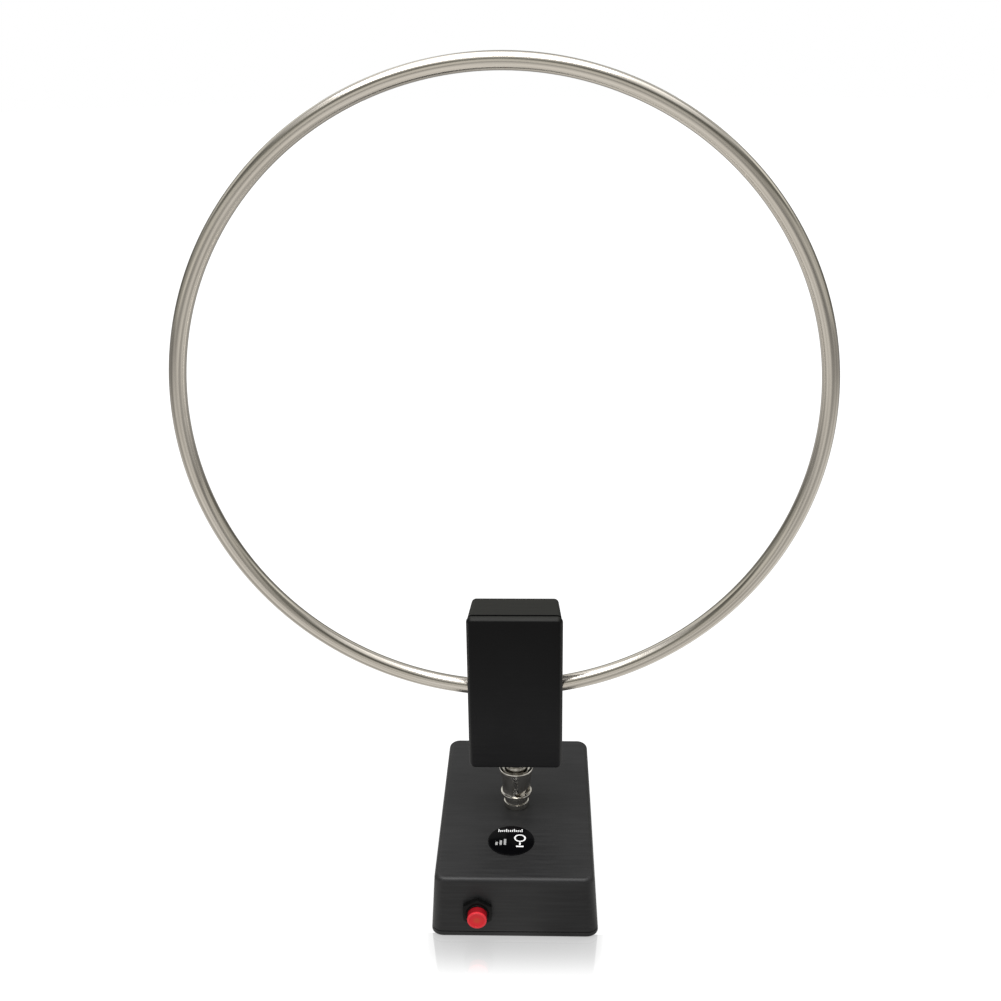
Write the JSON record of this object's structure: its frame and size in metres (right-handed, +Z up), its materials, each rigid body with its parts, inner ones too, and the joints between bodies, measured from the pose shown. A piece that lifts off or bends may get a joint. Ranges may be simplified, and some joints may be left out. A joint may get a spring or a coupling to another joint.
{
  "type": "indoor loop antenna",
  "caption": "Indoor active loop antenna: a steel loop on an amplifier head that plugs by a bayonet connector into a flat battery base with a push button.",
  "frame": {"origin": "centre of the underside of the base, on the floor", "axes": "+Z up along the connector and the middle of the loop, -Y out of the front with the push button, +X to the right seen from the front"},
  "size_m": [0.2496, 0.121, 0.3318],
  "materials": {
    "abs_black": "fine-textured black ABS, matt",
    "switch_black": "smooth black nylon",
    "button_red": "satin red ABS",
    "stainless": "polished stainless steel tube",
    "nickel": "bright nickel plate on brass",
    "gold": "gold flash on brass",
    "brass": "plain brass",
    "spring_steel": "zinc-plated steel",
    "screw_black": "blackened steel",
    "ptfe": "white PTFE",
    "silicone": "soft silicone",
    "badge_resin": "glossy black resin",
    "laminate": "green solder-masked glass laminate",
    "chip": "moulded epoxy",
    "ferrite": "grey ferrite with a copper winding",
    "cell_wrap": "laminated aluminium pouch",
    "foam": "double-sided foam tape",
    "lens": "clear green-tinted resin",
    "coax_brown": "brown coaxial jacket",
    "wire_red": "red PVC",
    "wire_black": "black PVC",
    "wire_white": "white PVC"
  },
  "bodies": {
    "base": {"base_shell": "abs_black", "base_cover": "abs_black", "badge": "badge_resin", "base_screw_1": "screw_black", "base_screw_2": "screw_black", "base_screw_3": "screw_black", "base_screw_4": "screw_black", "panel_jack_shell": "nickel", "panel_jack_insulator": "ptfe", "panel_jack_contact": "gold", "panel_jack_washer": "nickel", "panel_jack_nut": "nickel", "output_jack_shell": "nickel", "output_jack_insulator": "ptfe", "output_jack_contact": "gold", "output_jack_washer": "nickel", "output_jack_nut": "nickel", "switch_housing": "switch_black", "switch_nut": "switch_black", "switch_spring": "spring_steel", "switch_terminal_left": "brass", "switch_terminal_right": "brass", "battery_cell": "cell_wrap", "battery_pad": "foam", "battery_lead_positive": "wire_red", "battery_lead_negative": "wire_black", "charger_board": "laminate", "charger_chip": "chip", "antenna_lead": "coax_brown", "output_lead": "coax_brown", "switch_lead_left": "wire_black", "switch_lead_right": "wire_red", "usb_socket": "nickel", "charge_led": "lens"},
    "power_button": {"button_cap": "button_red", "switch_plunger": "switch_black", "switch_contact_bridge": "brass"},
    "plug_carrier": {"spring_washer": "spring_steel", "plug_gasket": "silicone"},
    "nut": {"coupling_nut": "nickel"},
    "head": {"head_rear_shell": "abs_black", "head_front_cover": "abs_black", "head_screw_1": "screw_black", "head_screw_2": "screw_black", "head_screw_3": "screw_black", "head_screw_4": "screw_black", "loop_tube": "stainless", "loop_bolt_left": "stainless", "loop_bolt_right": "stainless", "loop_nut_left": "stainless", "loop_nut_right": "stainless", "amplifier_board": "laminate", "toroid_transformer": "ferrite", "amplifier_chip": "chip", "board_screw": "spring_steel", "plug_body": "nickel", "plug_insulator": "ptfe", "plug_pin": "gold", "plug_nut": "nickel", "plug_lead": "wire_white"}
  },
  "joints": [
    {"name": "plug_rise", "type": "slide", "parent": "base", "child": "plug_carrier", "axis": [0, 0, 1], "range_m": [0, 0.0022]},
    {"name": "nut_twist", "type": "hinge", "parent": "plug_carrier", "child": "nut", "pos_m": [0, 0, 0.041], "axis": [0, 0, 1], "range_deg": [0, 80]},
    {"name": "head_swivel", "type": "hinge", "parent": "plug_carrier", "child": "head", "pos_m": [0, 0, 0.052], "axis": [0, 0, 1], "continuous": true},
    {"name": "power_press", "type": "slide", "parent": "base", "child": "power_button", "axis": [0, 1, 0], "range_m": [0, 0.002], "stiffness_N_per_m": 900, "springref_m": -0.0012, "deforming": ["switch_spring"]}
  ],
  "couplings": [
    {"joint": "nut_twist", "follows": "plug_rise", "rad_per_m": 634.66}
  ]
}
